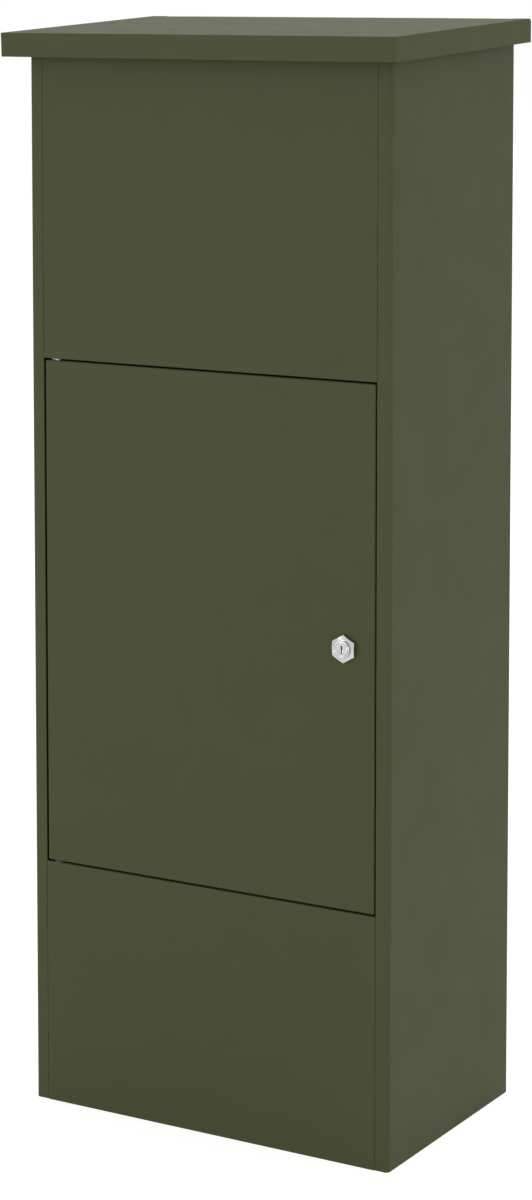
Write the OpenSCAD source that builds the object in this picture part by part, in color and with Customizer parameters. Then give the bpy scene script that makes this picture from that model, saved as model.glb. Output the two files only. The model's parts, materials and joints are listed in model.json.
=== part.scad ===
// Free-standing steel parcel drop box: a sloped lid with an anti-theft hopper
// under it, and a lockable collection door on concealed pivot pins.
// X is the width, +X on the right as seen from the front. -Y is the front. +Z is up.
// The origin is on the ground, in the middle of the outline with the lid's overhang.

/* [Cabinet] */
// Width over the side panels
body_w = 380; // [330:10:460]
// Depth from the front face to the back face
body_d = 240; // [200:10:300]
// Height of the lid's top edge at the back
top_h = 1023; // [960:5:1150]
// Thickness of every steel sheet
sheet = 1.5; // [1:0.1:2]
// Outer bend radius of the side panels' corners
corner_r = 4; // [3:0.5:5]
// Width of the strip that each side panel folds round the front
strip_w = 13.6; // [12:0.2:20]
// Width of the strip that each side panel folds round the back
back_strip_w = 20; // [14:1:30]
// How far a lapped panel reaches behind a strip
lap_w = 8; // [6:0.5:8]
// Gap of the seam between a strip and a fixed front panel
seam_gap = 0.4; // [0.2:0.1:0.8]
// Height of the floor pan's upturned edges
floor_edge_h = 25; // [15:1:40]

/* [Door] */
// Height of the door opening's lower edge above the ground
door_z0 = 231.4; // [200:0.2:260]
// Height of the door opening
opening_h = 477.4; // [420:0.2:500]
// Gap between the door and a strip
door_gap = 1.8; // [1.4:0.1:2.4]
// Gap between the door and the panels above and below it
door_gap_z = 1.8; // [1.6:0.1:2.4]
// Depth of the door's folded edges
door_fold = 16; // [14:0.5:18]
// Distance from the front face to the door stops
stop_depth = 22; // [21:0.5:24]
// Height of the stop lips above and below the opening
stop_lip = 12; // [8:1:16]
// Width of the jambs' stop faces
jamb_w = 22; // [18:1:26]
// How far the jambs pass the opening at each end
jamb_over = 18; // [14:1:24]
// Width of the door seal
seal_w = 8; // [6:0.5:9]
// Distance of the pivot axis from the door's left edge
pivot_inset = 10.1; // [9:0.1:12]
// Depth of the pivot axis behind the front face
pivot_depth = 6; // [5.5:0.1:7]
// Radius of the pivot pins
pivot_r = 2.5; // [2:0.1:3]
// Outer radius of the pivot bushes' sleeves
bush_r = 4; // [3.6:0.1:4.4]
// Radius of the pivot bushes' collars
bush_collar_r = 5.6; // [5:0.1:6]
// Width of the door's stiffening channel
stiffener_w = 40; // [30:1:60]
// Depth of the door's stiffening channel
stiffener_d = 12; // [8:1:14]

/* [Lock] */
// Distance of the lock's axis from the door's right edge
lock_inset = 29.6; // [26:0.2:36]
// Width of the hexagonal bezel across its flats
bezel_af = 22; // [20:0.5:26]
// How far the bezel stands proud of the door
bezel_proud = 5.5; // [3:0.5:7]
// Radius of the round collar in front of the bezel
collar_r = 8; // [7.4:0.1:9]
// How far the collar stands proud of the bezel
collar_proud = 2.5; // [1.5:0.1:4]
// Outer radius of the threaded barrel
barrel_r = 9.4; // [9:0.1:10]
// Distance between the barrel's flats
barrel_flats = 16.4; // [15.6:0.1:17]
// Radius of the key plug
plug_r = 6.2; // [5.6:0.1:6.4]
// Width of the cam
cam_w = 18; // [14:1:20]
// Length of the cam from the lock's axis to its tip
cam_l = 37; // [34:0.5:39]
// Thickness of the cam
cam_t = 2.5; // [2:0.1:3]

/* [Lid] */
// Overhang of the lid in front of the front face
lid_front = 23; // [18:1:30]
// Overhang of the lid at each side
lid_side = 16; // [10:1:24]
// Fall of the lid's top from its back edge to its front edge
lid_fall = 13; // [8:1:16]
// Depth of the lid's folded skirt
skirt_h = 22; // [18:1:26]
// Height of the flattened hem along the skirt's lower edge
hem_h = 8; // [5:1:10]
// Distance from the lid's top face down to the rim frame
rim_drop = 8; // [7.8:0.1:9]
// Width of the rim frame's seal face
rim_w = 15; // [13:1:18]
// Depth of the rim frame's fold against the walls
rim_fold = 20; // [14:1:26]
// Width of the rim seal
rim_seal_w = 10; // [7:0.5:11]

/* [Lid hinge] */
// Outer radius of the hinge barrel
knuckle_r = 3.5; // [3:0.1:3.6]
// Radius of the hinge pin
hinge_pin_r = 1.5; // [1.2:0.1:1.8]
// Number of knuckles on both leaves together, an odd number
knuckle_count = 9; // [5:2:15]
// Gap between each end of the lid hinge and a hopper cheek
hinge_end_gap = 1.5; // [1:0.5:12]
// Width of each hinge leaf
leaf_w = 34; // [32:1:38]
// Distance of the studs from a leaf's free edge
leaf_stud_edge = 7; // [6:0.5:8]
// Number of studs that hold each leaf
leaf_studs = 4; // [3:1:6]

/* [Hopper] */
// Gap between the hopper's sweep and the rim frame's front inner edge
hopper_gap = 7.5; // [5:0.5:40]
// Distance from the lid hinge's axis to the tray's front face
tray_offset = 17.5; // [14:0.5:22]
// Gap between a cheek and the rim frame's inner edge
cheek_gap = 2.5; // [2:0.1:5]
// Width of the cheeks' folded edges
cheek_fold = 12; // [10:0.5:14]
// How far each ear of the tray reaches past its cheek
ear_reach = 13; // [12:0.5:14]
// Height of each ear
ear_h = 16; // [14:1:20]
// Opening angle at which the ears' bumpers meet the rim frame
lid_open = 80; // [70:1:85]
// Radius of the stop bumpers
bumper_r = 5; // [4:0.5:6]

/* [Mounting] */
// Spacing of the floor anchor holes across the width
anchor_x = 260; // [200:10:280]
// Spacing of the floor anchor holes along the depth
anchor_y = 140; // [100:10:160]
// Radius of the floor anchor holes
anchor_r = 5; // [4:0.5:7]
// Spacing of the wall holes across the width
wall_x = 260; // [200:10:280]
// Spacing of the wall holes in height
wall_z = 500; // [400:10:550]
// Height of the lower wall holes
wall_z0 = 200; // [150:10:240]
// Radius of the wall holes
wall_r = 4; // [3:0.5:6]
// Thickness of the floor mat
mat_t = 4; // [2:0.5:8]
// Radius of the mat's openings round the anchor bolts
mat_hole_r = 16; // [14:1:20]

/* [Hidden] */
$fn = 48;

olive = [0.30, 0.32, 0.23];
zinc = [0.72, 0.73, 0.74];
nickel = [0.80, 0.80, 0.78];
black = [0.08, 0.08, 0.08];
white = [0.92, 0.92, 0.90];

// A cut reaches this far past the faces that it passes.
past = 1;
// Clearance of a seal or bumper from the moving face that it meets
touch = 0.3;
// Radial running clearance of a turning pin
run = 0.05;
// Radial clearance of a fixed round piece in its hole
fit = 0.1;

// Cabinet walls
half_w = body_w / 2;
back_y = (body_d + lid_front) / 2;
front_y = back_y - body_d;
inner_half = half_w - sheet;
strip_x = half_w - strip_w;
lap_x = strip_x + lap_w;
back_in_y = back_y - 2 * sheet;
lining_y = front_y + 2 * sheet;
lap_joint = 2;
big = 3000;

// Door
door_z1 = door_z0 + opening_h;
door_half = strip_x - door_gap;
door_lo = door_z0 + door_gap_z;
door_hi = door_z1 - door_gap_z;
stop_y = front_y + stop_depth;
jamb_x = inner_half - jamb_w;
pivot_x = -door_half + pivot_inset;
pivot_y = front_y + pivot_depth;
pin_head_r = pivot_depth - sheet - fit;
pin_head_t = 2;
bush_top_collar = door_gap_z / 2;
bush_bottom_collar = door_gap_z - touch;
sleeve_below = 4;
seal_t = stop_depth - door_fold - touch;
// The corner of the door's hinge-side fold sweeps this far round the pivot axis.
fold_sweep = sqrt(pivot_inset * pivot_inset + pow(door_fold - pivot_depth, 2)) + touch;

// Lock
lock_x = door_half - lock_inset;
lock_z = (door_lo + door_hi) / 2;
cam_gap = 1;
cam_y = stop_y + sheet + cam_gap;
nut_af = 24;
nut_t = 5;
tail = 8;
tail_fit = 0.05;
dish_r = 4.6;
dish_sphere_r = 8;
keyway_w = 1.4;
keyway_h = 7;
keyway_depth = 12;
screw_r = 2.4;
screw_head_r = 4.6;
screw_head_t = 3;
screw_l = 10;

// Lid: everything on it is drawn in a frame whose origin is the middle of its
// back top edge, with Y along the slope and Z square to the top face.
lid_tilt = atan(lid_fall / (body_d + lid_front));
lid_l = (body_d + lid_front) / cos(lid_tilt);
lid_half = half_w + lid_side;
skirt_cut = 30;
notch_half = half_w + 0.5;
notch_y = -2 * knuckle_r - 0.5;
knuckle_gap = 0.3;
// The barrel is flush with the lid's top face and with the cabinet's back.
pin_z = -knuckle_r;
pin_y = (pin_z * sin(lid_tilt) - knuckle_r) / cos(lid_tilt);
rim_seal_t = rim_drop - sheet - touch;
rim_in_x = inner_half - rim_w;
cheek_x = rim_in_x - cheek_gap;
hinge_half = cheek_x - sheet - hinge_end_gap;
hinge_l = 2 * hinge_half;

// The hinge axis in the part's own frame
hinge_y = back_y + pin_y * cos(lid_tilt) - pin_z * sin(lid_tilt);
hinge_z = top_h + pin_y * sin(lid_tilt) + pin_z * cos(lid_tilt);
knuckle_pitch = hinge_l / knuckle_count;
leaf_stud_r = 2;
leaf_nut_af = 7;
leaf_nut_t = 3.2;
leaf_stud_pitch = hinge_l / leaf_studs;

// Hopper, in the lid's frame. It sweeps this radius about the lid hinge.
hopper_r = hinge_y - lining_y - rim_w - hopper_gap;
tray_front = pin_y - tray_offset;
tray_back = tray_front + sheet;
tray_end = pin_z - sqrt(hopper_r * hopper_r - tray_offset * tray_offset);
cheek_r = hopper_r - 5;
tray_fold = leaf_w - tray_offset - 1;
ear_x = cheek_x + ear_reach;
ear_top = tray_end + 30;
bumper_z = ear_top - ear_h / 2;
bumper_x = cheek_x + ear_reach / 2 + 0.5;
// The bumper's near corner meets the rim frame's underside when the lid is open.
rim_under = rim_drop + sheet - knuckle_r;
bumper_face = (rim_under + touch + (bumper_z + bumper_r - pin_z) * cos(lid_open)) / sin(lid_open);
bumper_l = -tray_offset + abs(bumper_face);
rivet_r = 2;
rivet_head_r = 3.8;
rivet_head_t = 1;
rivet_rows = 4;
rivet_z0 = -40;
rivet_edge = 36;
rivet_pitch = (rivet_z0 - tray_end - rivet_edge) / (rivet_rows - 1);
stud_l = 7;
leaf_stud_y = pin_y - leaf_w + leaf_stud_edge;
leaf_stud_z = hinge_z - leaf_w + leaf_stud_edge;
cheek_fold_y = pin_y - leaf_w - touch;
cheek_stud_ys = [cheek_fold_y - 20, pin_y - cheek_r + 50];

function hex_r(across_flats) = across_flats / 2 / cos(30);

module in_lid_frame() {
  translate([0, back_y, top_h]) rotate([lid_tilt, 0, 0]) children();
}

// Everything lower than the given depth below the lid's top face
module below_lid(depth) {
  in_lid_frame() translate([-big / 2, -big / 2, -depth - big]) cube([big, big, big]);
}

// A slab parallel to the lid, from the given depth below its top face
module lid_slab(depth, thick) {
  in_lid_frame() translate([-big / 2, -big / 2, -depth - thick]) cube([big, big, thick]);
}

module plan_rect(x0, y0, x1, y1) {
  translate([x0, y0]) square([x1 - x0, y1 - y0]);
}

module block(x0, y0, z0, x1, y1, z1) {
  translate([x0, y0, z0]) cube([x1 - x0, y1 - y0, z1 - z0]);
}

// A rectangle in plan with round corners
module round_plan(half, y0, y1, r) {
  plan_rect(-half + r, y0, half - r, y1);
  plan_rect(-half, y0 + r, half, y1 - r);
  for (x = [-half + r, half - r], y = [y0 + r, y1 - r])
    translate([x, y]) circle(r);
}

// A cylinder along +Y that starts at y0
module rod_y(x, y0, z, r, l) {
  translate([x, y0 + l, z]) rotate([90, 0, 0]) cylinder(r = r, h = l);
}

module hex_y(x, y0, z, across_flats, l) {
  translate([x, y0 + l, z]) rotate([90, 0, 0]) rotate([0, 0, 30]) cylinder(r = hex_r(across_flats), h = l, $fn = 6);
}

// Side panel on the left: a wall with a strip folded round the front and the back.
module side_panel_left() {
  intersection() {
    linear_extrude(top_h) difference() {
      intersection() {
        round_plan(half_w, front_y, back_y, corner_r);
        plan_rect(-half_w, front_y, 0, back_y);
      }
      round_plan(inner_half, front_y + sheet, back_y - sheet, corner_r - sheet);
      plan_rect(-strip_x, front_y - past, past, 0);
      plan_rect(-half_w + back_strip_w, 0, past, back_y + past);
    }
    below_lid(rim_drop);
  }
}

module left_side_panel() {
  color(olive) side_panel_left();
}

module right_side_panel() {
  color(olive) mirror([1, 0, 0]) side_panel_left();
}

// The back panel lies against the inside of the side panels' back strips.
module back_panel() {
  color(olive) difference() {
    intersection() {
      block(-lap_x, back_in_y, 0, lap_x, back_in_y + sheet, top_h);
      below_lid(2 * knuckle_r + 0.7);
    }
    for (x = [-wall_x / 2, wall_x / 2], z = [wall_z0, wall_z0 + wall_z])
      rod_y(x, back_in_y - past, z, wall_r, sheet + 2 * past);
  }
}

// The outline in plan of a fixed front panel, joggled to lie behind the strips
module front_plan() {
  plan_rect(-strip_x + seam_gap, front_y, strip_x - seam_gap, front_y + sheet);
  for (side = [-1, 1])
    scale([side, 1]) plan_rect(strip_x - seam_gap - lap_joint, front_y + sheet, lap_x, lining_y);
}

// The fold at an edge of the door opening, with its stop lip. It rises by dir from z.
module opening_fold(z, dir) {
  fold_half = strip_x - seam_gap - lap_joint;
  translate([0, 0, z]) mirror([0, 0, dir > 0 ? 0 : 1]) {
    block(-fold_half, front_y, -sheet, fold_half, stop_y + sheet, 0);
    block(-fold_half, stop_y, -sheet, fold_half, stop_y + sheet, stop_lip);
  }
}

module bush_hole(z) {
  translate([pivot_x, pivot_y, z - sheet - past])
    cylinder(r = bush_r + fit, h = 2 * sheet + 2 * past);
}

module front_upper_panel() {
  color(olive) difference() {
    union() {
      intersection() {
        translate([0, 0, door_z1]) linear_extrude(top_h) front_plan();
        below_lid(rim_drop);
      }
      opening_fold(door_z1, -1);
    }
    bush_hole(door_z1);
  }
}

module front_lower_panel() {
  color(olive) difference() {
    union() {
      linear_extrude(door_z0) front_plan();
      opening_fold(door_z0, 1);
    }
    bush_hole(door_z0);
  }
}

module at_anchors() {
  for (x = [-anchor_x / 2, anchor_x / 2], y = [-anchor_y / 2, anchor_y / 2])
    translate([x, y + (front_y + back_y) / 2]) children();
}

module floor_pan() {
  color(olive) difference() {
    block(-inner_half + touch, lining_y, 0, inner_half - touch, back_in_y, floor_edge_h);
    block(-inner_half + touch + sheet, lining_y + sheet, sheet,
      inner_half - touch - sheet, back_in_y - sheet, floor_edge_h + past);
    translate([0, 0, -past]) at_anchors() cylinder(r = anchor_r, h = sheet + 2 * past);
    // The side panels' bends and the jambs pass the pan's corners.
    for (side = [-1, 1])
      scale([side, 1, 1])
        block(inner_half - corner_r, lining_y - past, sheet, half_w, lining_y + corner_r, floor_edge_h + past);
  }
}

module floor_mat() {
  color(black) difference() {
    block(-inner_half + 4, lining_y + 4, sheet, inner_half - 4, back_in_y - 4, sheet + mat_t);
    at_anchors() cylinder(r = mat_hole_r, h = 20);
  }
}

// A jamb is an angle: one face lies on the side panel, the other is the door's stop.
module jamb() {
  block(inner_half - sheet, stop_y, door_z0 - jamb_over, inner_half, stop_y + jamb_w, door_z1 + jamb_over);
  block(jamb_x, stop_y, door_z0 - jamb_over, inner_half, stop_y + sheet, door_z1 + jamb_over);
}

// The stop lips of the fixed panels lie in the jambs' plane, so each jamb is notched round them.
module lip_notches() {
  fold_half = strip_x - seam_gap - lap_joint;
  for (z = [[door_z0 - sheet, door_z0 + stop_lip], [door_z1 - stop_lip, door_z1 + sheet]])
    block(-fold_half - touch, stop_y - past, z[0] - touch, fold_half + touch, stop_y + 2 * sheet, z[1] + touch);
}

module latch_jamb() {
  color(olive) difference() {
    jamb();
    lip_notches();
  }
}

module hinge_jamb() {
  color(olive) difference() {
    mirror([1, 0, 0]) jamb();
    lip_notches();
  }
}

// Foam on the stop faces: above, below and on the latch side. The hinge side stays
// free for the door's fold, which swings past the jamb there.
module door_seal() {
  y0 = stop_y - seal_t;
  color(black) {
    block(pivot_x + fold_sweep, y0, door_hi - seal_w, door_half, stop_y, door_hi);
    block(pivot_x + fold_sweep, y0, door_lo, door_half, stop_y, door_lo + seal_w);
    block(door_half - seal_w, y0, door_lo, door_half, stop_y, door_hi);
  }
}

module rim_ring(inset, wide) {
  linear_extrude(top_h) difference() {
    plan_rect(-inner_half + inset, lining_y + inset, inner_half - inset, back_in_y - inset);
    plan_rect(-inner_half + wide, lining_y + wide, inner_half - wide, back_in_y - wide);
  }
}

// The rim frame: a sloped face under the lid, with a fold down the walls on three sides.
// It is open at the back, where the lid hinge's fixed leaf stands.
module rim_frame() {
  color(olive) difference() {
    union() {
      intersection() {
        rim_ring(0, rim_w);
        lid_slab(rim_drop, sheet);
      }
      intersection() {
        rim_ring(0, sheet);
        lid_slab(rim_drop, rim_fold);
      }
    }
    block(-half_w, hinge_y - knuckle_r - rim_w, 0, half_w, back_y + past, top_h + past);
    // Room for the bends between the strips and the side walls
    for (side = [-1, 1])
      scale([side, 1, 1])
        block(inner_half - corner_r, lining_y - past, 0, half_w, lining_y + corner_r, top_h + past);
  }
}

module rim_seal() {
  inset = (rim_w - rim_seal_w) / 2;
  color(black) difference() {
    intersection() {
      rim_ring(inset, inset + rim_seal_w);
      lid_slab(sheet + touch, rim_seal_t);
    }
    block(-half_w, hinge_y - knuckle_r - rim_w, 0, half_w, back_y + past, top_h + past);
    for (side = [-1, 1])
      scale([side, 1, 1])
        block(inner_half - corner_r, lining_y - past, 0, half_w, lining_y + corner_r, top_h + past);
  }
}

module door_panel() {
  color(olive) difference() {
    block(-door_half, front_y, door_lo, door_half, front_y + door_fold, door_hi);
    block(-door_half + sheet, front_y + sheet, door_lo + sheet,
      door_half - sheet, front_y + door_fold + past, door_hi - sheet);
    translate([pivot_x, pivot_y, door_lo - past])
      cylinder(r = pivot_r + fit, h = door_hi - door_lo + 2 * past);
    // The lock's hole has the barrel's two flats.
    intersection() {
      rod_y(lock_x, front_y - past, lock_z, barrel_r + fit, sheet + 2 * past);
      block(lock_x - barrel_flats / 2 - fit, front_y - past, lock_z - bezel_af,
        lock_x + barrel_flats / 2 + fit, front_y + sheet + past, lock_z + bezel_af);
    }
  }
}

// A hat channel down the middle of the door's inside
module door_stiffener() {
  y0 = front_y + sheet;
  flange = 12;
  end = 20;
  half = stiffener_w / 2;
  color(olive) difference() {
    union() {
      block(-half, y0, door_lo + end, half, y0 + stiffener_d, door_hi - end);
      block(-half - flange, y0, door_lo + end, half + flange, y0 + sheet, door_hi - end);
    }
    block(-half + sheet, y0 - past, door_lo + end - past, half - sheet, y0 + stiffener_d - sheet, door_hi - end + past);
  }
}

// Each pin's head lies inside the door's fold, and its shank turns in the bush.
module door_pin_top() {
  color(zinc) translate([pivot_x, pivot_y, door_hi - sheet - pin_head_t]) {
    cylinder(r = pin_head_r, h = pin_head_t);
    cylinder(r = pivot_r, h = pin_head_t + sheet + door_gap_z + sheet + sleeve_below);
  }
}

module door_pin_bottom() {
  color(zinc) translate([pivot_x, pivot_y, door_lo + sheet + pin_head_t]) mirror([0, 0, 1]) {
    cylinder(r = pin_head_r, h = pin_head_t);
    cylinder(r = pivot_r, h = pin_head_t + sheet + door_gap_z + sheet + sleeve_below);
  }
}

// A flanged bush in the panel's fold: its collar lies in the door's gap.
module pivot_bush(collar_t) {
  difference() {
    union() {
      translate([0, 0, -collar_t]) cylinder(r = bush_collar_r, h = collar_t);
      cylinder(r = bush_r, h = sheet + sleeve_below);
    }
    translate([0, 0, -collar_t - past])
      cylinder(r = pivot_r + run, h = collar_t + sheet + sleeve_below + 2 * past);
  }
}

module pivot_bush_top() {
  color(white) translate([pivot_x, pivot_y, door_z1]) pivot_bush(bush_top_collar);
}

module pivot_bush_bottom() {
  color(white) translate([pivot_x, pivot_y, door_z0]) mirror([0, 0, 1]) pivot_bush(bush_bottom_collar);
}

module lock_body() {
  color(nickel) difference() {
    union() {
      hex_y(lock_x, front_y - bezel_proud, lock_z, bezel_af, bezel_proud);
      rod_y(lock_x, front_y - bezel_proud - collar_proud, lock_z, collar_r, collar_proud + past);
      intersection() {
        rod_y(lock_x, front_y - past, lock_z, barrel_r, cam_y - touch - front_y + past);
        block(lock_x - barrel_flats / 2, front_y - past, lock_z - bezel_af,
          lock_x + barrel_flats / 2, cam_y, lock_z + bezel_af);
      }
    }
    rod_y(lock_x, front_y - bezel_proud - collar_proud - past, lock_z, plug_r + run,
      bezel_proud + collar_proud + cam_y - front_y + 2 * past);
  }
}

module lock_nut() {
  color(zinc) difference() {
    hex_y(lock_x, front_y + sheet, lock_z, nut_af, nut_t);
    rod_y(lock_x, front_y + sheet - past, lock_z, barrel_r + fit, nut_t + 2 * past);
  }
}

// The key plug: a dished face with a keyway, and a square tail that carries the cam.
module lock_plug() {
  face_y = front_y - bezel_proud - collar_proud;
  sphere_back = sqrt(dish_sphere_r * dish_sphere_r - dish_r * dish_r);
  color(nickel) difference() {
    union() {
      rod_y(lock_x, face_y, lock_z, plug_r, cam_y - face_y);
      block(lock_x - tail / 2, cam_y, lock_z - tail / 2, lock_x + tail / 2, cam_y + cam_t, lock_z + tail / 2);
    }
    translate([lock_x, face_y - sphere_back, lock_z]) sphere(dish_sphere_r);
    block(lock_x - keyway_w / 2, face_y - past, lock_z - keyway_h / 2,
      lock_x + keyway_w / 2, face_y + keyway_depth, lock_z + keyway_h / 2);
    rod_y(lock_x, cam_y + cam_t - screw_l + touch, lock_z, screw_r + fit, screw_l);
  }
}

// The cam hangs down while the door is unlocked.
module lock_cam() {
  color(zinc) difference() {
    union() {
      rod_y(lock_x, cam_y, lock_z, cam_w / 2, cam_t);
      block(lock_x - cam_w / 2, cam_y, lock_z - cam_l, lock_x + cam_w / 2, cam_y + cam_t, lock_z);
    }
    block(lock_x - tail / 2 - tail_fit, cam_y - past, lock_z - tail / 2 - tail_fit,
      lock_x + tail / 2 + tail_fit, cam_y + cam_t + past, lock_z + tail / 2 + tail_fit);
  }
}

module cam_screw() {
  color(zinc) {
    hex_y(lock_x, cam_y + cam_t, lock_z, 2 * screw_head_r + 1, screw_head_t);
    rod_y(lock_x, cam_y + cam_t - screw_l + 2 * touch, lock_z, screw_r, screw_l);
  }
}

// The lid: a sloped plate with folded skirts on three sides and a notch for the hinge.
module lid_pan() {
  wall_x0 = lid_half - sheet;
  hem_x0 = lid_half - 2 * sheet;
  color(olive) intersection() {
    in_lid_frame() difference() {
      union() {
        block(-lid_half, -lid_l, -sheet, lid_half, 0, 0);
        block(-lid_half, -lid_l, -skirt_h, lid_half, -lid_l + sheet, 0);
        block(-lid_half, -lid_l, -skirt_h, lid_half, -lid_l + 2 * sheet, -skirt_h + hem_h);
        for (side = [-1, 1])
          scale([side, 1, 1]) {
            block(wall_x0, -lid_l, -skirt_h, lid_half, skirt_cut, 0);
            block(hem_x0, -lid_l, -skirt_h, lid_half, skirt_cut, -skirt_h + hem_h);
          }
      }
      block(-notch_half, notch_y, -2 * sheet, notch_half, past, past);
      // The skirts' back corners are round about the hinge axis.
      difference() {
        block(-lid_half - past, pin_y, pin_z, lid_half + past, skirt_cut + past, past);
        translate([-lid_half, pin_y, pin_z]) rotate([0, 90, 0]) cylinder(r = knuckle_r, h = 2 * lid_half);
      }
    }
    block(-big / 2, -big / 2, 0, big / 2, back_y, big);
  }
}

// One knuckle of the lid hinge, in the lid's frame, without its bore
module knuckle(i) {
  x0 = -hinge_half + i * knuckle_pitch + knuckle_gap / 2;
  translate([x0, pin_y, pin_z]) rotate([0, 90, 0]) cylinder(r = knuckle_r, h = knuckle_pitch - knuckle_gap);
}

module hinge_bore() {
  translate([-hinge_half - past, pin_y, pin_z]) rotate([0, 90, 0])
    cylinder(r = hinge_pin_r + run, h = hinge_l + 2 * past);
}

// Room for the other leaf's knuckle
module knuckle_room(i) {
  x0 = -hinge_half + i * knuckle_pitch - knuckle_gap / 2;
  translate([x0, pin_y, pin_z]) rotate([0, 90, 0]) cylinder(r = knuckle_r + touch, h = knuckle_pitch + knuckle_gap);
}

// The fixed leaf stands against the back panel.
module lid_hinge_fixed_leaf() {
  color(zinc) difference() {
    union() {
      in_lid_frame() for (i = [0 : 2 : knuckle_count - 1]) knuckle(i);
      block(-hinge_half, back_in_y - sheet, hinge_z - leaf_w, hinge_half, back_in_y, hinge_z);
    }
    in_lid_frame() hinge_bore();
    in_lid_frame() for (i = [1 : 2 : knuckle_count - 2]) knuckle_room(i);
    for (i = [0 : leaf_studs - 1])
      rod_y(-hinge_half + (i + 0.5) * leaf_stud_pitch, back_in_y - sheet - past, leaf_stud_z,
        leaf_stud_r + fit, sheet + 2 * past);
  }
}

// The moving leaf lies against the lid's underside.
module lid_hinge_moving_leaf() {
  color(zinc) in_lid_frame() difference() {
    union() {
      for (i = [1 : 2 : knuckle_count - 2]) knuckle(i);
      block(-hinge_half, pin_y - leaf_w, -2 * sheet, hinge_half, pin_y, -sheet);
    }
    hinge_bore();
    for (i = [0 : 2 : knuckle_count - 1]) knuckle_room(i);
    for (i = [0 : leaf_studs - 1])
      translate([-hinge_half + (i + 0.5) * leaf_stud_pitch, leaf_stud_y, -2 * sheet - past])
        cylinder(r = leaf_stud_r + fit, h = sheet + 2 * past);
  }
}

module lid_hinge_pin() {
  color(zinc) in_lid_frame() translate([-hinge_half, pin_y, pin_z]) rotate([0, 90, 0])
    cylinder(r = hinge_pin_r, h = hinge_l);
}

// Welded studs on the back panel, through the fixed leaf
module fixed_leaf_studs() {
  color(zinc) for (i = [0 : leaf_studs - 1])
    rod_y(-hinge_half + (i + 0.5) * leaf_stud_pitch, back_in_y - stud_l, leaf_stud_z, leaf_stud_r, stud_l);
}

module fixed_leaf_nuts() {
  color(zinc) for (i = [0 : leaf_studs - 1]) {
    x = -hinge_half + (i + 0.5) * leaf_stud_pitch;
    difference() {
      hex_y(x, back_in_y - sheet - leaf_nut_t, leaf_stud_z, leaf_nut_af, leaf_nut_t);
      rod_y(x, back_in_y - sheet - leaf_nut_t - past, leaf_stud_z, leaf_stud_r + fit, leaf_nut_t + 2 * past);
    }
  }
}

// A stud stands down from the lid's underside.
module lid_stud() {
  translate([0, 0, -sheet - stud_l]) cylinder(r = leaf_stud_r, h = stud_l);
}

// A nut under the lid and the sheets that it holds there
module lid_nut(sheets) {
  translate([0, 0, -sheets * sheet - leaf_nut_t]) difference() {
    cylinder(r = hex_r(leaf_nut_af), h = leaf_nut_t, $fn = 6);
    translate([0, 0, -past]) cylinder(r = leaf_stud_r + fit, h = leaf_nut_t + 2 * past);
  }
}

module at_moving_leaf_studs() {
  for (i = [0 : leaf_studs - 1])
    translate([-hinge_half + (i + 0.5) * leaf_stud_pitch, leaf_stud_y, 0]) children();
}

module at_hopper_studs() {
  for (side = [-1, 1], y = cheek_stud_ys)
    translate([side * (cheek_x - cheek_fold / 2 - sheet), y, 0]) children();
}

module moving_leaf_studs() {
  color(zinc) in_lid_frame() at_moving_leaf_studs() lid_stud();
}

module moving_leaf_nuts() {
  color(zinc) in_lid_frame() at_moving_leaf_studs() lid_nut(3);
}

module hopper_studs() {
  color(zinc) in_lid_frame() at_hopper_studs() lid_stud();
}

module hopper_nuts() {
  color(zinc) in_lid_frame() at_hopper_studs() lid_nut(2);
}

module at_rivets() {
  for (side = [-1, 1], i = [0 : rivet_rows - 1])
    translate([side * (cheek_x - cheek_fold / 2 - sheet), 0, rivet_z0 - i * rivet_pitch]) children();
}

// The tray hangs behind the opening when the lid is shut, and blocks the way down
// when the lid is open. Its fold lies under the moving leaf, on the same studs.
// An ear at each side carries a stop bumper.
module hopper_tray() {
  color(olive) in_lid_frame() difference() {
    union() {
      block(-cheek_x, tray_front, tray_end, cheek_x, tray_back, -2 * sheet);
      block(-hinge_half, tray_front - tray_fold, -3 * sheet, hinge_half, tray_back, -2 * sheet);
      block(-ear_x, tray_front, ear_top - ear_h, ear_x, tray_back, ear_top);
    }
    at_rivets() rod_y(0, tray_front - past, 0, rivet_r + fit, sheet + 2 * past);
    translate([0, 0, -3 * sheet - past]) at_moving_leaf_studs() cylinder(r = leaf_stud_r + fit, h = 3 * sheet);
  }
}

// A cheek: a quarter round plate with one edge folded under the lid and one along the tray.
module cheek() {
  fold_x = cheek_x - sheet - cheek_fold;
  difference() {
    intersection() {
      union() {
        block(cheek_x - sheet, -lid_l, tray_end, cheek_x, tray_front, -sheet);
        block(fold_x, -lid_l, -2 * sheet, cheek_x, cheek_fold_y, -sheet);
        block(fold_x, tray_front - sheet, tray_end, cheek_x, tray_front, -3 * sheet - touch);
      }
      translate([0, pin_y, pin_z]) rotate([0, 90, 0]) cylinder(r = cheek_r, h = lid_half, $fn = 96);
    }
    at_rivets() rod_y(0, tray_front - 2 * sheet, 0, rivet_r + fit, 3 * sheet);
    translate([0, 0, -3 * sheet]) at_hopper_studs() cylinder(r = leaf_stud_r + fit, h = 3 * sheet);
  }
}

module hopper_cheek_right() {
  color(olive) in_lid_frame() cheek();
}

module hopper_cheek_left() {
  color(olive) in_lid_frame() mirror([1, 0, 0]) cheek();
}

module hopper_rivets() {
  color(zinc) in_lid_frame() at_rivets() {
    rod_y(0, tray_front - sheet - rivet_head_t, 0, rivet_head_r, rivet_head_t);
    rod_y(0, tray_front - sheet, 0, rivet_r, 2 * sheet);
    rod_y(0, tray_back, 0, rivet_head_r, rivet_head_t);
  }
}

module hopper_bumpers() {
  color(black) in_lid_frame() for (side = [-1, 1])
    rod_y(side * bumper_x, tray_front - bumper_l, bumper_z, bumper_r, bumper_l);
}

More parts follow.
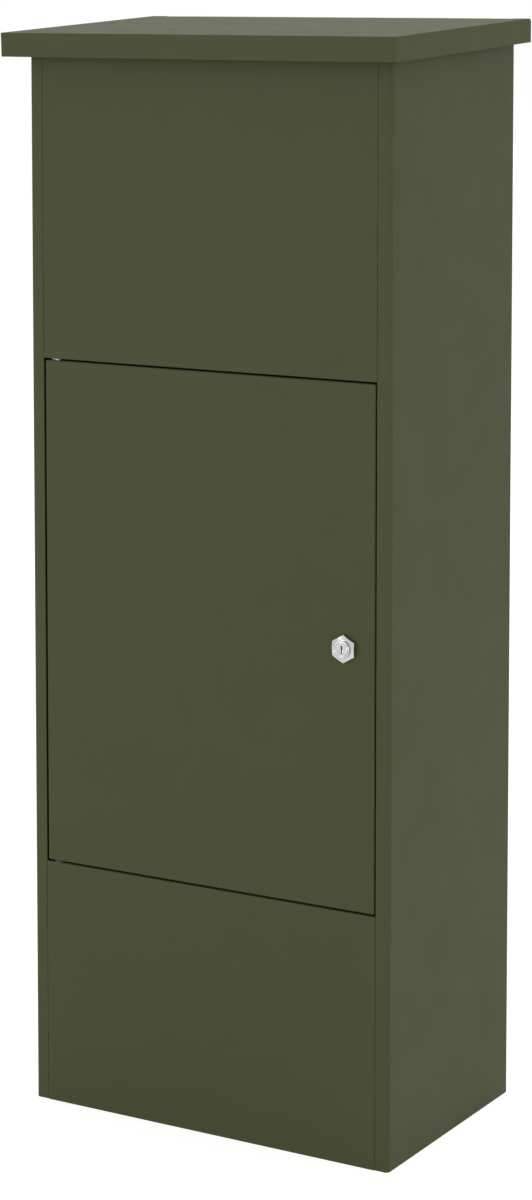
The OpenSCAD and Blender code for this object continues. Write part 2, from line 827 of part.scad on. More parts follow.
left_side_panel();
right_side_panel();
back_panel();
front_upper_panel();
front_lower_panel();
floor_pan();
floor_mat();
hinge_jamb();
latch_jamb();
door_seal();
rim_frame();
rim_seal();
door_panel();
door_stiffener();
door_pin_top();
door_pin_bottom();
pivot_bush_top();
pivot_bush_bottom();
lock_body();
lock_nut();
lock_plug();
lock_cam();
cam_screw();
lid_pan();
lid_hinge_fixed_leaf();
lid_hinge_moving_leaf();
lid_hinge_pin();
fixed_leaf_studs();
fixed_leaf_nuts();
moving_leaf_studs();
moving_leaf_nuts();
hopper_tray();
hopper_cheek_left();
hopper_cheek_right();
hopper_rivets();
hopper_studs();
hopper_nuts();
hopper_bumpers();
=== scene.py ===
import json
import math

import bmesh
import bpy
from mathutils import Matrix, Vector

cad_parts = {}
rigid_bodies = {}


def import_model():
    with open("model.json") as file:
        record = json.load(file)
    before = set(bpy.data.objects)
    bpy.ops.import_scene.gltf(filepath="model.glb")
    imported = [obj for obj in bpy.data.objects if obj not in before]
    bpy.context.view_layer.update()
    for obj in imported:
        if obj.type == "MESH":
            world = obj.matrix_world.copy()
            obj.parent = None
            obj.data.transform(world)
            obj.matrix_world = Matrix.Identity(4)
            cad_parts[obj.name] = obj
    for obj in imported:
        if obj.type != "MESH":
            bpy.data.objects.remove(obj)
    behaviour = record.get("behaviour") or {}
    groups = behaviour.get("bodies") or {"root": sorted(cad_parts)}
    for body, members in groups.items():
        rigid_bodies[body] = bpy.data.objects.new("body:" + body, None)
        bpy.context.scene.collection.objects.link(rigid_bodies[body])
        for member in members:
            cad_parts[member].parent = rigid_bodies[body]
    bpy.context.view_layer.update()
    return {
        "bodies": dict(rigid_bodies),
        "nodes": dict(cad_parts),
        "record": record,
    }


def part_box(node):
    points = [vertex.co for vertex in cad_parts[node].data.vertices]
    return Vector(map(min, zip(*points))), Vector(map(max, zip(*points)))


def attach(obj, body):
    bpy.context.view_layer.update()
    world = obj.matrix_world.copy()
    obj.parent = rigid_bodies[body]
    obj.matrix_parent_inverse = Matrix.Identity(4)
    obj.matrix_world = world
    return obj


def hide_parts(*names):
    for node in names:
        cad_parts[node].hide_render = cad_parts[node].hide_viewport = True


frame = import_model()
nodes = frame["nodes"]
record = frame["record"]
scene = bpy.context.scene

MM = 0.001


# ---------------------------------------------------------------- camera
# The camera stands in front and to the right of the box, a little above it.
CAMERA_PLACE = (1.4614, -2.4695, 1.0572)
CAMERA_AZIMUTH = 30.627
CAMERA_PITCH = 5.313
CAMERA_LENS = 93.2
CAMERA_SHIFT_Y = -0.275
CAMERA_SENSOR = 36.0
CAMERA_CLIP = (0.05, 60.0)


def make_camera():
    data = bpy.data.cameras.new("camera")
    data.lens = CAMERA_LENS
    data.sensor_width = CAMERA_SENSOR
    data.shift_y = CAMERA_SHIFT_Y
    data.clip_start, data.clip_end = CAMERA_CLIP
    camera = bpy.data.objects.new("camera", data)
    scene.collection.objects.link(camera)
    camera.location = CAMERA_PLACE
    camera.rotation_euler = (math.radians(90 - CAMERA_PITCH), 0, math.radians(CAMERA_AZIMUTH))
    scene.camera = camera


# ---------------------------------------------------------------- materials
class Graph:
    """A short way to write a node material: a Principled shader and what feeds it."""

    def __init__(self, name):
        self.material = bpy.data.materials.new(name)
        self.material.use_nodes = True
        self.tree = self.material.node_tree
        self.shader = self.tree.nodes["Principled BSDF"]
        coords = self.tree.nodes.new("ShaderNodeTexCoord")
        self.coords = coords.outputs["Object"]

    def node(self, kind, **values):
        made = self.tree.nodes.new(kind)
        for key, value in values.items():
            setattr(made, key, value)
        return made

    def link(self, out, into):
        self.tree.links.new(out, into)

    def noise(self, size, detail=2.0, stretch=None):
        """Noise whose features are about size metres across."""
        noise = self.node("ShaderNodeTexNoise")
        noise.inputs["Scale"].default_value = 1.0 / size
        noise.inputs["Detail"].default_value = detail
        source = self.coords
        if stretch:
            mapping = self.node("ShaderNodeMapping")
            mapping.inputs["Scale"].default_value = stretch
            self.link(source, mapping.inputs["Vector"])
            source = mapping.outputs["Vector"]
        self.link(source, noise.inputs["Vector"])
        return noise.outputs["Fac"]

    def cells(self, size):
        voronoi = self.node("ShaderNodeTexVoronoi")
        voronoi.inputs["Scale"].default_value = 1.0 / size
        self.link(self.coords, voronoi.inputs["Vector"])
        return voronoi.outputs["Distance"]

    def ramp(self, value, low, high, out_low, out_high):
        """Maps value from low..high to out_low..out_high."""
        ranged = self.node("ShaderNodeMapRange")
        for key, number in zip(
            ("From Min", "From Max", "To Min", "To Max"), (low, high, out_low, out_high)
        ):
            ranged.inputs[key].default_value = number
        self.link(value, ranged.inputs["Value"])
        return ranged.outputs["Result"]

    def spread(self, size, detail, low, high):
        """Noise from low to high. Nearly all of the plain noise lies between 0.3 and 0.7."""
        return self.ramp(self.noise(size, detail), 0.3, 0.7, low, high)

    def mix(self, factor, colour_a, colour_b):
        mixed = self.node("ShaderNodeMix", data_type="RGBA")
        mixed.inputs["A"].default_value = (*colour_a, 1)
        mixed.inputs["B"].default_value = (*colour_b, 1)
        self.link(factor, mixed.inputs["Factor"])
        return mixed.outputs["Result"]

    def scaled(self, colour, value):
        """colour made darker or lighter by value."""
        mixed = self.node("ShaderNodeVectorMath", operation="SCALE")
        if hasattr(colour, "links"):
            self.link(colour, mixed.inputs[0])
        else:
            mixed.inputs[0].default_value = colour
        self.link(value, mixed.inputs["Scale"])
        return mixed.outputs["Vector"]

    def sum(self, a, b):
        added = self.node("ShaderNodeMath", operation="ADD")
        self.link(a, added.inputs[0])
        self.link(b, added.inputs[1])
        return added.outputs["Value"]

    def bump(self, height, depth):
        """Height from 0 to 1, for a relief that is depth metres deep."""
        bump = self.node("ShaderNodeBump")
        bump.inputs["Strength"].default_value = 1.0
        bump.inputs["Distance"].default_value = depth
        self.link(height, bump.inputs["Height"])
        self.link(bump.outputs["Normal"], self.shader.inputs["Normal"])

    def colour(self, out):
        self.link(out, self.shader.inputs["Base Color"])

    def roughness(self, out):
        self.link(out, self.shader.inputs["Roughness"])

    def set(self, **values):
        for key, value in values.items():
            self.shader.inputs[key.replace("_", " ")].default_value = value


POWDER_COAT = (0.0605, 0.0697, 0.0290)
# Painted shade: the lower nylon bush is darkened to this share of its grey, fading in over this distance.
NYLON_PAINTED_SHADE = 0.1
NYLON_SHADE_FADE = 50 * MM


def powder_coat():
    """Satin olive powder coat: fine orange peel with a faint cloud and grain in its colour."""
    g = Graph("powder_coat")
    cloud = g.spread(0.11, 3.0, 0.985, 1.015)
    grain = g.spread(0.0009, 2.0, 0.965, 1.035)
    g.colour(g.scaled(g.scaled(POWDER_COAT, cloud), grain))
    g.roughness(g.spread(0.035, 3.0, 0.56, 0.62))
    peel = g.sum(g.noise(0.0016, 1.0), g.ramp(g.noise(0.0004, 1.0), 0.0, 1.0, 0.0, 0.3))
    g.bump(peel, 0.00004)
    g.set(IOR=1.45, Specular_IOR_Level=0.16)
    return g.material


def zinc_plate():
    """Bright zinc: bluish patches with a fine drawn grain."""
    g = Graph("zinc_plate")
    patch = g.noise(0.006, 2.0)
    g.colour(g.mix(patch, (0.52, 0.54, 0.57), (0.66, 0.66, 0.64)))
    g.roughness(g.ramp(g.noise(0.002, 2.0), 0.2, 0.8, 0.24, 0.36))
    g.bump(g.noise(0.0006, 2.0, stretch=(1, 1, 0.1)), 0.00001)
    g.set(Metallic=1.0)
    return g.material


def lock_nickel():
    """Polished nickel with faint handling marks."""
    g = Graph("lock_nickel")
    tone = g.noise(0.004, 2.0)
    g.colour(g.mix(tone, (0.50, 0.50, 0.505), (0.60, 0.60, 0.60)))
    g.roughness(g.spread(0.0015, 3.0, 0.10, 0.17))
    g.bump(g.noise(0.0005, 2.0), 0.000004)
    g.set(Metallic=1.0)
    return g.material


def nylon():
    """Nylon in a grey that is darker than the nylon itself, as painted shade for the gaps the bushes sit
    in, and darkened further to NYLON_PAINTED_SHADE of that at the lower bush, as painted shade.
    """
    g = Graph("nylon")
    # Painted shade: this grey is darker than the nylon itself, for the shaded gaps the bushes sit in.
    pale = g.mix(g.noise(0.002, 2.0), (0.30, 0.30, 0.28), (0.36, 0.36, 0.34))
    split = g.node("ShaderNodeSeparateXYZ")
    g.link(g.coords, split.inputs[0])
    middle = (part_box("pivot_bush_top")[1][2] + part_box("pivot_bush_bottom")[0][2]) / 2
    # Painted shade: darker towards the lower bush, fading in across the middle between the two bushes.
    high = g.ramp(split.outputs["Z"], middle - NYLON_SHADE_FADE, middle + NYLON_SHADE_FADE, NYLON_PAINTED_SHADE, 1.0)
    g.colour(g.scaled(pale, high))
    g.roughness(g.spread(0.001, 1.0, 0.38, 0.46))
    g.bump(g.noise(0.0005, 1.0), 0.00002)
    return g.material


def foam_seal():
    """Closed-cell foam rubber: small open cells on a dull black skin."""
    g = Graph("foam_seal")
    cells = g.cells(0.0011)
    g.colour(g.mix(cells, (0.012, 0.012, 0.012), (0.035, 0.035, 0.034)))
    g.roughness(g.spread(0.004, 2.0, 0.82, 0.94))
    g.bump(cells, 0.0003)
    return g.material


def rubber_mat():
    """Black rubber with dust lying in patches."""
    g = Graph("rubber_mat")
    dust = g.ramp(g.noise(0.03, 4.0), 0.45, 0.75, 0.0, 1.0)
    g.colour(g.mix(dust, (0.018, 0.018, 0.018), (0.045, 0.044, 0.041)))
    g.roughness(g.spread(0.01, 2.0, 0.62, 0.78))
    g.bump(g.noise(0.0007, 2.0), 0.00006)
    return g.material


def rubber_bumper():
    """Plain black rubber, smoother than the mat."""
    g = Graph("rubber_bumper")
    g.colour(g.mix(g.noise(0.003, 2.0), (0.015, 0.015, 0.015), (0.03, 0.03, 0.03)))
    g.roughness(g.spread(0.002, 2.0, 0.5, 0.62))
    g.bump(g.noise(0.0005, 1.0), 0.00003)
    return g.material


MAKERS = {
    "powder_coat": powder_coat,
    "zinc_plate": zinc_plate,
    "lock_nickel": lock_nickel,
    "nylon": nylon,
    "foam_seal": foam_seal,
    "rubber_mat": rubber_mat,
    "rubber_bumper": rubber_bumper,
}
materials = {slot: make() for slot, make in MAKERS.items()}
slot_of = {row["node"]: row["material_slot"] for row in record["subparts"]}
body_of = {
    name: body
    for name, node in nodes.items()
    for body, empty in frame["bodies"].items()
    if node.parent is empty
}


def stand_in(piece, *names):
    """The piece shows in place of these CAD nodes and moves with their body."""
    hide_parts(*names)
    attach(piece, body_of[names[0]])


# ---------------------------------------------------------------- carried-over nodes
# How far each finish rounds its edges.
EDGE_RADIUS = {
    "powder_coat": 0.5 * MM,
    "zinc_plate": 0.25 * MM,
    "lock_nickel": 0.35 * MM,
    "nylon": 0.2 * MM,
    "foam_seal": 1.2 * MM,
    "rubber_mat": 1.0 * MM,
    "rubber_bumper": 0.8 * MM,
}


WELD_WITHIN = 0.01 * MM
FLAT_WITHIN = math.radians(0.5)
BEVEL_ABOVE = math.radians(35)


def round_edges(piece, radius, segments=3):
    """Welds the split vertices, drops the triangulation of flat faces and rounds the edges."""
    weld = piece.modifiers.new("weld", "WELD")
    weld.merge_threshold = WELD_WITHIN
    flat = piece.modifiers.new("flat", "DECIMATE")
    flat.decimate_type = "DISSOLVE"
    flat.angle_limit = FLAT_WITHIN
    bevel = piece.modifiers.new("bevel", "BEVEL")
    bevel.width = radius
    bevel.segments = segments
    bevel.limit_method = "ANGLE"
    bevel.angle_limit = BEVEL_ABOVE
    bevel.harden_normals = True


# A fold is bent only where both its flanges reach further than this, so a sheet's own edge isn't.
SHEET_MIN_FACE = 3.4 * MM
BEND_OUTSIDE = 2.0 * MM
BEND_INSIDE = 0.6 * MM
BEND_STEPS = 5
FOLD_ANGLES = (math.radians(60), math.radians(120))
MOULDED_ABOVE = math.radians(50)


def clean_mesh(node):
    """The node's faces as a bmesh, welded and without the triangulation of flat faces."""
    bm = bmesh.new()
    bm.from_mesh(node.data)
    bmesh.ops.remove_doubles(bm, verts=bm.verts, dist=WELD_WITHIN)
    bmesh.ops.dissolve_limit(
        bm, angle_limit=FLAT_WITHIN, verts=bm.verts, edges=bm.edges, use_dissolve_boundaries=False
    )
    return bm


def round_over(bm, edges, radius):
    """Cuts these edges of the mesh round."""
    bmesh.ops.bevel(
        bm,
        geom=edges,
        offset=radius,
        offset_type="OFFSET",
        segments=BEND_STEPS,
        profile=0.5,
        affect="EDGES",
        clamp_overlap=True,
    )


def as_object(name, bm):
    """A new object with this mesh, which is used up."""
    mesh = bpy.data.meshes.new(name)
    bm.to_mesh(mesh)
    bm.free()
    piece = bpy.data.objects.new(name, mesh)
    scene.collection.objects.link(piece)
    return piece


def face_reach(face, edge):
    """How far the face reaches from the line of one of its edges."""
    start = edge.verts[0].co
    along = (edge.verts[1].co - start).normalized()
    far = 0.0
    for vert in face.verts:
        arm = vert.co - start
        far = max(far, (arm - along * arm.dot(along)).length)
    return far


def bend_edges(bm, convex):
    """Edges where two flanges of the sheet meet, on the outside or the inside of the bend."""
    found = []
    for edge in bm.edges:
        if len(edge.link_faces) != 2 or edge.is_convex != convex:
            continue
        if not FOLD_ANGLES[0] < edge.calc_face_angle() < FOLD_ANGLES[1]:
            continue
        if min(face_reach(face, edge) for face in edge.link_faces) > SHEET_MIN_FACE:
            found.append(edge)
    return found


def bend_sheet(name, node):
    """A copy of a folded sheet part with real bends in place of its sharp folds."""
    bm = clean_mesh(node)
    for convex, radius in ((True, BEND_OUTSIDE), (False, BEND_INSIDE)):
        edges = bend_edges(bm, convex)
        if edges:
            round_over(bm, edges, radius)
    piece = as_object(name + "_bent", bm)
    stand_in(piece, name)
    return piece


def dress(piece, slot, radius, segments=3):
    """Gives the piece its slot's material and rounded edges."""
    piece.data.materials.clear()
    piece.data.materials.append(materials[slot])
    round_edges(piece, radius, segments)


def dress_nodes():
    """Bends every coated sheet part, and dresses every other node that has no remodelled piece."""
    for name, node in nodes.items():
        slot = slot_of[name]
        if slot == "powder_coat":
            dress(bend_sheet(name, node), slot, EDGE_RADIUS[slot])
        elif name not in REMODELLED:
            dress(node, slot, EDGE_RADIUS[slot])


# ---------------------------------------------------------------- remodelled pieces
MOULDED = {"door_seal": 1.6 * MM, "rim_seal": 1.2 * MM, "hopper_bumpers": 1.6 * MM}
REMODELLED = ("lock_body", "lock_plug", "lock_nut", "floor_mat", *MOULDED)
LATHE_STEPS = 96


def new_piece(name, bm):
    """A new object with this mesh, its faces turned outwards."""
    bmesh.ops.recalc_face_normals(bm, faces=bm.faces)
    return as_object(name, bm)


def lathe(profile, x, z):
    """A solid turned about a line along y. The profile is a closed loop of (radius, y) points."""
    bm = bmesh.new()
    rings = []
    for radius, y in profile:
        if radius < 1e-6:
            rings.append([bm.verts.new((x, y, z))])
            continue
        ring = []
        for step in range(LATHE_STEPS):
            turn = 2 * math.pi * step / LATHE_STEPS
            ring.append(bm.verts.new((x + radius * math.cos(turn), y, z + radius * math.sin(turn))))
        rings.append(ring)
    for index, ring in enumerate(rings):
        following = rings[(index + 1) % len(rings)]
        if len(ring) == 1 and len(following) == 1:
            continue
        for step in range(LATHE_STEPS):
            after = (step + 1) % LATHE_STEPS
            if len(ring) == 1:
                bm.faces.new((ring[0], following[after], following[step]))
            elif len(following) == 1:
                bm.faces.new((ring[step], ring[after], following[0]))
            else:
                bm.faces.new((ring[step], ring[after], following[after], following[step]))
    return bm


def rod(radius, x, z, y0, y1):
    """A round rod along y."""
    return lathe([(0, y0), (radius, y0), (radius, y1), (0, y1)], x, z)


def hex_bar(across_flats, x, z, y0, y1):
    """A hexagonal bar along y with a point at the top."""
    bm = bmesh.new()
    radius = across_flats / math.sqrt(3)
    ends = []
    for y in (y0, y1):
        ring = []
        for step in range(6):
            turn = math.radians(90 + 60 * step)
            ring.append(bm.verts.new((x + radius * math.cos(turn), y, z + radius * math.sin(turn))))
        ends.append(ring)
        bm.faces.new(ring)
    for step in range(6):
        after = (step + 1) % 6
        bm.faces.new((ends[0][step], ends[0][after], ends[1][after], ends[1][step]))
    return bm


def block(x0, y0, z0, x1, y1, z1):
    """A plain block between two corners."""
    bm = bmesh.new()
    centre = Matrix.Translation(((x0 + x1) / 2, (y0 + y1) / 2, (z0 + z1) / 2))
    size = Matrix.Diagonal((x1 - x0, y1 - y0, z1 - z0, 1))
    bmesh.ops.create_cube(bm, size=1.0, matrix=centre @ size)
    return bm


def combine(piece, steps):
    """Carries out boolean steps ("UNION", "DIFFERENCE" or "INTERSECT", bmesh) on the piece."""
    tools = []
    for kind, bm in steps:
        tool = new_piece("tool", bm)
        tools.append(tool)
        cut = piece.modifiers.new("cut", "BOOLEAN")
        cut.operation = kind
        cut.solver = "EXACT"
        cut.object = tool
    bpy.context.view_layer.update()
    shape = piece.evaluated_get(bpy.context.evaluated_depsgraph_get())
    result = bpy.data.meshes.new_from_object(shape)
    piece.modifiers.clear()
    piece.data = result
    for tool in tools:
        bpy.data.objects.remove(tool)


def finish_piece(piece, name, edge):
    """Puts a remodelled piece in its node's place, with fine rounded edges."""
    stand_in(piece, name)
    dress(piece, slot_of[name], edge, segments=2)


def rounded_corner(radius, y, size, outwards, steps=6):
    """Points of a quarter round at a turned edge, from the face at y to the wall at radius."""
    points = []
    for step in range(steps + 1):
        turn = math.radians(90 * step / steps)
        points.append(
            (radius - size + size * math.sin(turn), y + outwards * (size - size * math.cos(turn)))
        )
    return points


BEZEL_AF = 22 * MM
BEZEL_PROUD = 5.5 * MM
BEZEL_SLOPE = math.radians(22)
BEZEL_BURIED = 1.5 * MM
COLLAR_R = 8 * MM
COLLAR_LIP = 0.9 * MM
GROOVE_R = (9.3 * MM, 8.9 * MM)
GROOVE_DEEP = 0.35 * MM
PAST = 1 * MM
BARREL_R = 9.4 * MM
BARREL_FLATS = 16.4 * MM
PLUG_R = 6.2 * MM
PLUG_RUN = 0.05 * MM
PLUG_CHAMFER = 0.35 * MM
TAIL_HALF = 4 * MM
SCREW_R = 2.5 * MM
SCREW_DEEP = 10 * MM
THREAD_PITCH = 1.5 * MM
THREAD_DEPTH = 0.45 * MM
THREAD_CHAMFER = 0.6 * MM
DISH_R = 4.6 * MM
DISH_SPHERE_R = 8 * MM
DISH_STEPS = 14
KEYWAY = (1.4 * MM, 7 * MM, 12 * MM)
NUT_AF = 24 * MM
NUT_SLOPE = math.radians(30)
NUT_RUN = 0.1 * MM
FINE_EDGE = 0.12 * MM


def lock_place():
    """The x and z of the lock's axis."""
    low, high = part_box("lock_plug")
    return (low[0] + high[0]) / 2, (low[2] + high[2]) / 2


def make_lock_body():
    """Hexagonal bezel with a turned slope, a rounded collar in front and a threaded barrel behind."""
    x, z = lock_place()
    low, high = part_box("lock_body")
    face, back = low[1], high[1]
    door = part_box("door_panel")[0][1]
    bezel_front = door - BEZEL_PROUD
    bore = PLUG_R + PLUG_RUN
    profile = [
        (bore, back),
        (bore, face + 0.5 * MM),
        (bore + 0.3 * MM, face + 0.15 * MM),
        (bore + 0.45 * MM, face),
    ]
    profile += rounded_corner(COLLAR_R, face, COLLAR_LIP, 1)
    buried = door - BEZEL_BURIED
    profile += [(COLLAR_R, buried), (BARREL_R, buried), (BARREL_R, door + THREAD_PITCH)]
    y = door + THREAD_PITCH
    while y + THREAD_PITCH < back - THREAD_CHAMFER:
        profile += [(BARREL_R - THREAD_DEPTH, y + THREAD_PITCH * 0.5), (BARREL_R, y + THREAD_PITCH)]
        y += THREAD_PITCH
    profile += [(BARREL_R, back - THREAD_CHAMFER), (BARREL_R - THREAD_CHAMFER, back)]
    barrel = lathe(profile, x, z)

    shoulder = COLLAR_R + COLLAR_LIP
    reach = BEZEL_AF / math.sqrt(3) + PAST
    rise = (reach - shoulder) * math.tan(BEZEL_SLOPE)
    cone = lathe(
        [(0, bezel_front), (shoulder, bezel_front), (reach, bezel_front + rise), (reach, door), (0, door)],
        x,
        z,
    )
    before, groove = bezel_front - PAST, bezel_front + GROOVE_DEEP
    recess = lathe([(0, before), (GROOVE_R[0], before), (GROOVE_R[1], groove), (0, groove)], x, z)
    drill = rod((bore + COLLAR_R) / 2, x, z, face - PAST, back)
    piece = new_piece("lock_body_turned", hex_bar(BEZEL_AF, x, z, bezel_front, door))
    steps = [("INTERSECT", cone), ("DIFFERENCE", recess), ("DIFFERENCE", drill), ("UNION", barrel)]
    steps += [("DIFFERENCE", block(*side)) for side in barrel_flat_cuts(x, z, door, back)]
    combine(piece, steps)
    finish_piece(piece, "lock_body", FINE_EDGE)


def barrel_flat_cuts(x, z, door, back):
    """The two flats along the threaded barrel that keep it from turning in the door."""
    half = BARREL_FLATS / 2
    wide = 12 * MM
    return (
        (x + half, door, z - wide, x + wide, back + PAST, z + wide),
        (x - wide, door, z - wide, x - half, back + PAST, z + wide),
    )


def make_lock_plug():
    """The dished key plug with its keyway, and the square tail that carries the cam."""
    x, z = lock_place()
    low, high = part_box("lock_plug")
    face, back = low[1], high[1]
    cam_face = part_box("lock_cam")[0][1]
    centre = face - math.sqrt(DISH_SPHERE_R**2 - DISH_R**2)
    full = math.asin(DISH_R / DISH_SPHERE_R)
    profile = []
    for step in range(DISH_STEPS + 1):
        turn = full * step / DISH_STEPS
        profile.append((DISH_SPHERE_R * math.sin(turn), centre + DISH_SPHERE_R * math.cos(turn)))
    profile += [
        (DISH_R + 0.15 * MM, face),
        (PLUG_R - PLUG_CHAMFER, face),
        (PLUG_R, face + PLUG_CHAMFER),
        (PLUG_R, cam_face),
        (0, cam_face),
    ]
    piece = new_piece("lock_plug_turned", lathe(profile, x, z))
    wide, tall, deep = KEYWAY
    tail = block(x - TAIL_HALF, cam_face - PAST, z - TAIL_HALF, x + TAIL_HALF, back, z + TAIL_HALF)
    keyway = block(x - wide / 2, face - PAST, z - tall / 2, x + wide / 2, face + deep, z + tall / 2)
    screw = rod(SCREW_R, x, z, back - SCREW_DEEP, back + PAST)
    combine(piece, [("UNION", tail), ("DIFFERENCE", keyway), ("DIFFERENCE", screw)])
    finish_piece(piece, "lock_plug", FINE_EDGE)


def make_lock_nut():
    """A hexagonal nut, chamfered on both faces."""
    x, z = lock_place()
    low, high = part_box("lock_nut")
    y0, y1 = low[1], high[1]
    shoulder = NUT_AF / 2 - 0.2 * MM
    reach = NUT_AF / math.sqrt(3) + PAST
    rise = (reach - shoulder) * math.tan(NUT_SLOPE)
    profile = [(0, y0), (shoulder, y0), (reach, y0 + rise), (reach, y1 - rise), (shoulder, y1), (0, y1)]
    cone = lathe(profile, x, z)
    drill = rod(BARREL_R + NUT_RUN, x, z, y0 - PAST, y1 + PAST)
    piece = new_piece("lock_nut_turned", hex_bar(NUT_AF, x, z, y0, y1))
    combine(piece, [("INTERSECT", cone), ("DIFFERENCE", drill)])
    finish_piece(piece, "lock_nut", 0.15 * MM)


MAT_HOLE_R = 16 * MM
MAT_RIB = 8 * MM
MAT_RIB_HIGH = 1.2 * MM
MAT_RIB_SHARE = 0.36
MAT_RIB_STEPS = 8
MAT_MARGIN = 3 * MM


def anchor_places():
    """Where the floor's four anchor holes are, from the part's own mount."""
    mount = next(row for row in record["mounts"] if row["name"] == "floor_anchors")
    x, y, _ = mount["pos_m"]
    half_x = mount["dims"]["spacing_x_mm"] / 2 * MM
    half_y = mount["dims"]["spacing_y_mm"] / 2 * MM
    return [(x + i * half_x, y + j * half_y) for i in (-1, 1) for j in (-1, 1)]


def make_floor_mat():
    """A rubber mat with rounded ribs along its width and a clear hole at each anchor."""
    low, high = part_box("floor_mat")
    bm = bmesh.new()
    base = high[2] - MAT_RIB_HIGH
    ribbed = high[1] - low[1] - 2 * MAT_MARGIN
    count = int(ribbed / MAT_RIB)
    pitch = ribbed / count
    half = pitch * MAT_RIB_SHARE
    section = [(low[1], low[2]), (low[1], base), (low[1] + MAT_MARGIN, base)]
    for rib in range(count):
        start = low[1] + MAT_MARGIN + rib * pitch
        middle = start + pitch * 0.5
        for step in range(1, MAT_RIB_STEPS + 1):
            turn = math.pi * step / MAT_RIB_STEPS
            section.append((middle - half * math.cos(turn), base + MAT_RIB_HIGH * math.sin(turn)))
        section.append((start + pitch, base))
    section += [(high[1], base), (high[1], low[2])]
    ends = []
    for x in (low[0], high[0]):
        ends.append([bm.verts.new((x, y, z)) for y, z in section])
    bm.faces.new(ends[0])
    bm.faces.new(ends[1])
    for step in range(len(section)):
        after = (step + 1) % len(section)
        bm.faces.new((ends[0][step], ends[0][after], ends[1][after], ends[1][step]))
    piece = new_piece("floor_mat_ribbed", bm)
    z0, z1 = low[2] - 5 * MM, high[2] + 5 * MM
    combine(piece, [("DIFFERENCE", upright_rod(x, y, z0, z1, MAT_HOLE_R)) for x, y in anchor_places()])
    finish_piece(piece, "floor_mat", 0.3 * MM)


def upright_rod(x, y, z0, z1, radius):
    """A round rod along z."""
    bm = bmesh.new()
    bmesh.ops.create_cone(
        bm,
        cap_ends=True,
        segments=LATHE_STEPS,
        radius1=radius,
        radius2=radius,
        depth=z1 - z0,
        matrix=Matrix.Translation((x, y, (z0 + z1) / 2)),
    )
    return bm


def make_rounded(name, edge):
    """A copy of a rubber or foam part with its edges moulded round."""
    bm = clean_mesh(nodes[name])
    sharp = [e for e in bm.edges if len(e.link_faces) == 2 and e.calc_face_angle() > MOULDED_ABOVE]
    round_over(bm, sharp, edge)
    piece = new_piece(name + "_moulded", bm)
    stand_in(piece, name)
    piece.data.materials.append(materials[slot_of[name]])
    for face in piece.data.polygons:
        face.use_smooth = True
    smooth = piece.modifiers.new("normals", "WEIGHTED_NORMAL")
    smooth.keep_sharp = False


make_lock_body()
make_lock_plug()
make_lock_nut()
make_floor_mat()
for moulded, moulded_edge in MOULDED.items():
    make_rounded(moulded, moulded_edge)


# ---------------------------------------------------------------- floor and light
def by_ray(tree, seen, lit):
    """seen for the camera, in reflections and through glass; lit for the light that falls on things."""
    path = tree.nodes.new("ShaderNodeLightPath")
    direct = path.outputs["Is Camera Ray"]
    for ray in ("Is Glossy Ray", "Is Transmission Ray"):
        either = tree.nodes.new("ShaderNodeMath")
        either.operation = "MAXIMUM"
        tree.links.new(direct, either.inputs[0])
        tree.links.new(path.outputs[ray], either.inputs[1])
        direct = either.outputs[0]
    mix = tree.nodes.new("ShaderNodeMixShader")
    tree.links.new(direct, mix.inputs[0])
    tree.links.new(lit, mix.inputs[1])
    tree.links.new(seen, mix.inputs[2])
    return mix.outputs[0]


WORLD_LIGHT = 0.62
FLOOR_COLOUR = (0.90, 0.90, 0.89)
# The floor that is seen is a pale matt one that glows, so that it is white and still shows the shadow.
FLOOR_SEEN = (0.45, 0.45, 0.45)
FLOOR_GLOW = 0.77
FLOOR_SIZE = 40.0
# Place and aim in metres, width in metres, watts.
LAMPS = {
    "key": ((-2.2, -3.9, 1.1), (0, 0, 0.1), 2.4, 47),
    "fill": ((4.4, -1.6, 1.4), (0, 0, 0.4), 2.4, 45),
    "top": ((0.2, 0.6, 3.6), (0, 0, 1.0), 1.8, 30),
    "rear": ((-1.2, 4.2, 1.9), (0, 0, 0.4), 2.4, 46),
}


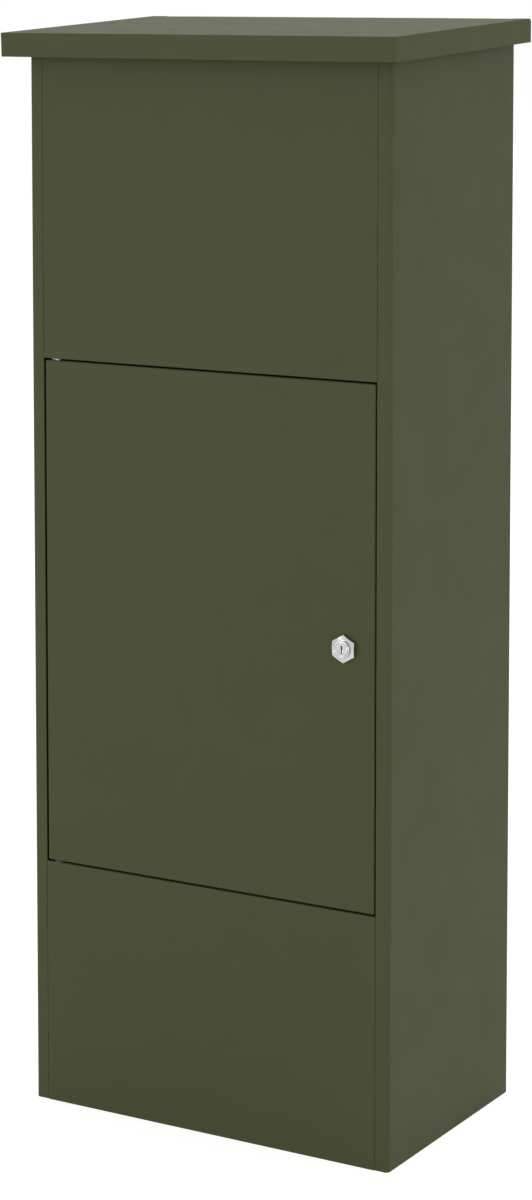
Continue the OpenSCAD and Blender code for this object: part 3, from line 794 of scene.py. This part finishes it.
def make_world():
    world = bpy.data.worlds.new("studio")
    world.use_nodes = True
    tree = world.node_tree
    tree.nodes.clear()
    out = tree.nodes.new("ShaderNodeOutputWorld")
    seen = tree.nodes.new("ShaderNodeBackground")
    seen.inputs["Strength"].default_value = 1.0
    seen.inputs["Color"].default_value = (1, 1, 1, 1)
    lit = tree.nodes.new("ShaderNodeBackground")
    lit.inputs["Strength"].default_value = WORLD_LIGHT
    lit.inputs["Color"].default_value = (1, 1, 1, 1)
    backdrop = by_ray(tree, seen.outputs[0], lit.outputs[0])
    tree.links.new(backdrop, out.inputs["Surface"])
    scene.world = world


def make_floor():
    mesh = bpy.data.meshes.new("floor")
    h = FLOOR_SIZE / 2
    mesh.from_pydata([(-h, -h, 0), (h, -h, 0), (h, h, 0), (-h, h, 0)], [], [(0, 1, 2, 3)])
    floor = bpy.data.objects.new("floor", mesh)
    scene.collection.objects.link(floor)
    material = bpy.data.materials.new("floor")
    material.use_nodes = True
    tree = material.node_tree
    tree.nodes.clear()
    out = tree.nodes.new("ShaderNodeOutputMaterial")
    lit = tree.nodes.new("ShaderNodeBsdfDiffuse")
    lit.inputs["Color"].default_value = (*FLOOR_COLOUR, 1)
    pale = tree.nodes.new("ShaderNodeBsdfDiffuse")
    pale.inputs["Color"].default_value = (*FLOOR_SEEN, 1)
    glow = tree.nodes.new("ShaderNodeEmission")
    glow.inputs["Strength"].default_value = FLOOR_GLOW
    both = tree.nodes.new("ShaderNodeAddShader")
    tree.links.new(pale.outputs[0], both.inputs[0])
    tree.links.new(glow.outputs[0], both.inputs[1])
    surface = by_ray(tree, both.outputs[0], lit.outputs[0])
    tree.links.new(surface, out.inputs["Surface"])
    mesh.materials.append(material)


def area_light(name, place, aim, size, watts):
    data = bpy.data.lights.new(name, "AREA")
    data.shape = "SQUARE"
    data.size = size
    data.energy = watts
    light = bpy.data.objects.new(name, data)
    scene.collection.objects.link(light)
    light.location = place
    light.rotation_euler = (Vector(aim) - Vector(place)).to_track_quat("-Z", "Y").to_euler()
    light.visible_camera = False
    return light


def make_lights():
    """A soft studio. The rear lamp grazes the lid, so it gives no shine there."""
    lamps = {name: area_light(name, *values) for name, values in LAMPS.items()}
    lamps["rear"].visible_glossy = False


make_camera()
dress_nodes()
make_world()
make_floor()
make_lights()

scene.view_settings.view_transform = "Standard"
